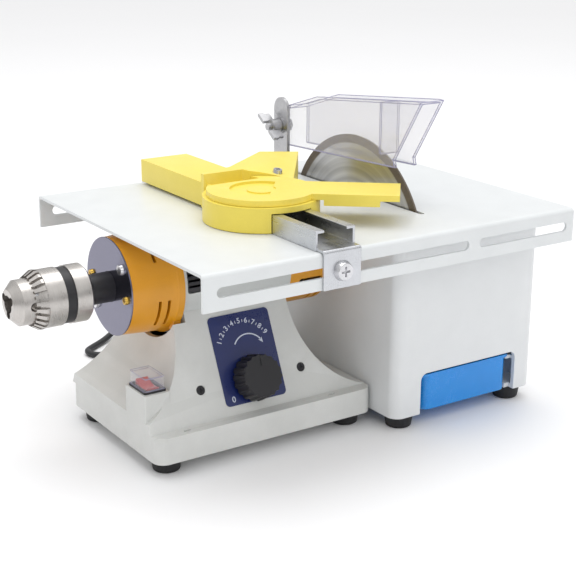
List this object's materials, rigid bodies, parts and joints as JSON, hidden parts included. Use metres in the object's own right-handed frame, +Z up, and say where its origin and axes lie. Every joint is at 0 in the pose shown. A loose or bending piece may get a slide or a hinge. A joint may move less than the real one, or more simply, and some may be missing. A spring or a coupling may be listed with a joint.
{
  "type": "bench trim saw",
  "caption": "Bench trim saw with a keyed chuck, a slotted saw table, a tilting clear guard, an angle guide on a rail, a speed knob and a slide-out water tray.",
  "frame": {"origin": "middle of the footprint on the surface the feet stand on, cord left out", "axes": "+X along the spindle from the chuck to the splash box, -Y the front with the control panel, +Z up"},
  "size_m": [0.347, 0.3848, 0.214],
  "materials": {
    "housing_grey": "fine satin",
    "table_white": "satin powder coat",
    "box_grey": "satin",
    "cap_orange": "satin",
    "casing_grey": "satin",
    "disc_violet": "satin",
    "black_plastic": "satin",
    "rubber_black": "matt",
    "chuck_steel": "turned",
    "steel": "satin",
    "bright_steel": "polished",
    "brass": "satin",
    "copper": "satin",
    "laminate": "matt",
    "carbon": "matt",
    "board_green": "satin",
    "label_blue": "satin print",
    "switch_red": "gloss",
    "clear_plastic": "clear moulding",
    "tray_blue": "translucent",
    "rail_aluminium": "extruded",
    "guide_yellow": "satin",
    "blade_steel": "ground, diamond rim",
    "white_plastic": "matt"
  },
  "bodies": {
    "machine": {"base_housing": "housing_grey", "base_bottom_plate": "housing_grey", "rubber_feet": "rubber_black", "base_plate_screws": "steel", "panel_screws": "black_plastic", "control_label": "label_blue", "speed_potentiometer": "steel", "speed_control_board": "board_green", "switch_body": "black_plastic", "switch_cap": "clear_plastic", "cord_gland": "rubber_black", "power_cord": "rubber_black", "cord_hank": "rubber_black", "plug": "black_plastic", "motor_left_cap": "cap_orange", "motor_casing": "casing_grey", "vent_grille": "black_plastic", "motor_right_cap": "cap_orange", "brush_holders": "black_plastic", "carbon_brushes": "carbon", "end_disc": "disc_violet", "spindle_boss": "black_plastic", "disc_screws_steel": "bright_steel", "disc_screws_brass": "brass", "bearings": "steel", "motor_field": "laminate", "splash_box": "box_grey", "shaft_seal": "rubber_black", "saw_table": "table_white", "table_studs": "steel", "table_pad": "rubber_black", "guard_bracket": "steel", "bracket_screws": "bright_steel", "guard_bolt": "steel"},
    "spindle": {"spindle_shaft": "steel", "armature": "laminate", "commutator": "copper", "cooling_fan": "black_plastic", "blade_inner_flange": "steel", "saw_blade": "blade_steel", "blade_outer_flange": "steel", "arbor_nut": "steel", "chuck_body": "chuck_steel", "chuck_band": "black_plastic"},
    "chuck_ring": {"chuck_sleeve": "chuck_steel"},
    "jaw_1": {"chuck_jaw_1": "steel"},
    "jaw_2": {"chuck_jaw_2": "steel"},
    "jaw_3": {"chuck_jaw_3": "steel"},
    "knob": {"speed_knob": "black_plastic"},
    "rocker": {"switch_rocker": "switch_red"},
    "tray": {"water_tray": "tray_blue"},
    "guard": {"guard_cover": "clear_plastic"},
    "wing_nut_body": {"wing_nut": "steel"},
    "fence": {"fence_rail": "rail_aluminium", "fence_clamp_screws": "bright_steel", "fence_clamp_nuts": "steel"},
    "guide": {"guide_base": "guide_yellow", "guide_slider": "white_plastic", "guide_lock_screw": "bright_steel"},
    "arm": {"guide_arm": "guide_yellow"}
  },
  "joints": [
    {"name": "spindle_spin", "type": "hinge", "parent": "machine", "child": "spindle", "pos_m": [0, 0.004, 0.105], "axis": [1, 0, 0], "continuous": true},
    {"name": "chuck_ring_turn", "type": "hinge", "parent": "spindle", "child": "chuck_ring", "pos_m": [-0.15, 0.004, 0.105], "axis": [1, 0, 0], "range_deg": [0, 650]},
    {"name": "chuck_jaw_1_slide", "type": "slide", "parent": "spindle", "child": "jaw_1", "axis": [-0.9272, -0.3244, -0.1873], "range_m": [0, 0.01084]},
    {"name": "chuck_jaw_2_slide", "type": "slide", "parent": "spindle", "child": "jaw_2", "axis": [-0.9272, 0.3244, -0.1873], "range_m": [0, 0.01084]},
    {"name": "chuck_jaw_3_slide", "type": "slide", "parent": "spindle", "child": "jaw_3", "axis": [-0.9272, 0, 0.3746], "range_m": [0, 0.01084]},
    {"name": "speed_knob_turn", "type": "hinge", "parent": "machine", "child": "knob", "pos_m": [-0.0335, -0.04345, 0.0442], "axis": [0, -0.908, 0.4191], "range_deg": [0, 270]},
    {"name": "switch_rocker_tilt", "type": "hinge", "parent": "machine", "child": "rocker", "pos_m": [-0.10175, -0.0323, 0.05], "axis": [1, 0, 0], "range_deg": [-10, 10]},
    {"name": "water_tray_slide", "type": "slide", "parent": "machine", "child": "tray", "axis": [0, -1, 0], "range_m": [0, 0.048]},
    {"name": "guard_lift", "type": "hinge", "parent": "machine", "child": "guard", "pos_m": [0.0803, 0.08, 0.176], "axis": [-1, 0, 0], "range_deg": [0, 65]},
    {"name": "wing_nut_turn", "type": "hinge", "parent": "machine", "child": "wing_nut_body", "pos_m": [0.063, 0.08, 0.176], "axis": [1, 0, 0], "range_deg": [-180, 180]},
    {"name": "fence_slide", "type": "slide", "parent": "machine", "child": "fence", "axis": [1, 0, 0], "range_m": [-0.072, 0.005]},
    {"name": "guide_slide", "type": "slide", "parent": "fence", "child": "guide", "axis": [0, 1, 0], "range_m": [-0.038, 0.004]},
    {"name": "guide_arm_swing", "type": "hinge", "parent": "guide", "child": "arm", "pos_m": [-0.014, -0.024, 0.159], "axis": [0, 0, 1], "range_deg": [-45, 5]}
  ],
  "couplings": [
    {"joint": "chuck_jaw_1_slide", "follows": "chuck_ring_turn", "m_per_rad": 0.00095493},
    {"joint": "chuck_jaw_2_slide", "follows": "chuck_ring_turn", "m_per_rad": 0.00095493},
    {"joint": "chuck_jaw_3_slide", "follows": "chuck_ring_turn", "m_per_rad": 0.00095493}
  ]
}
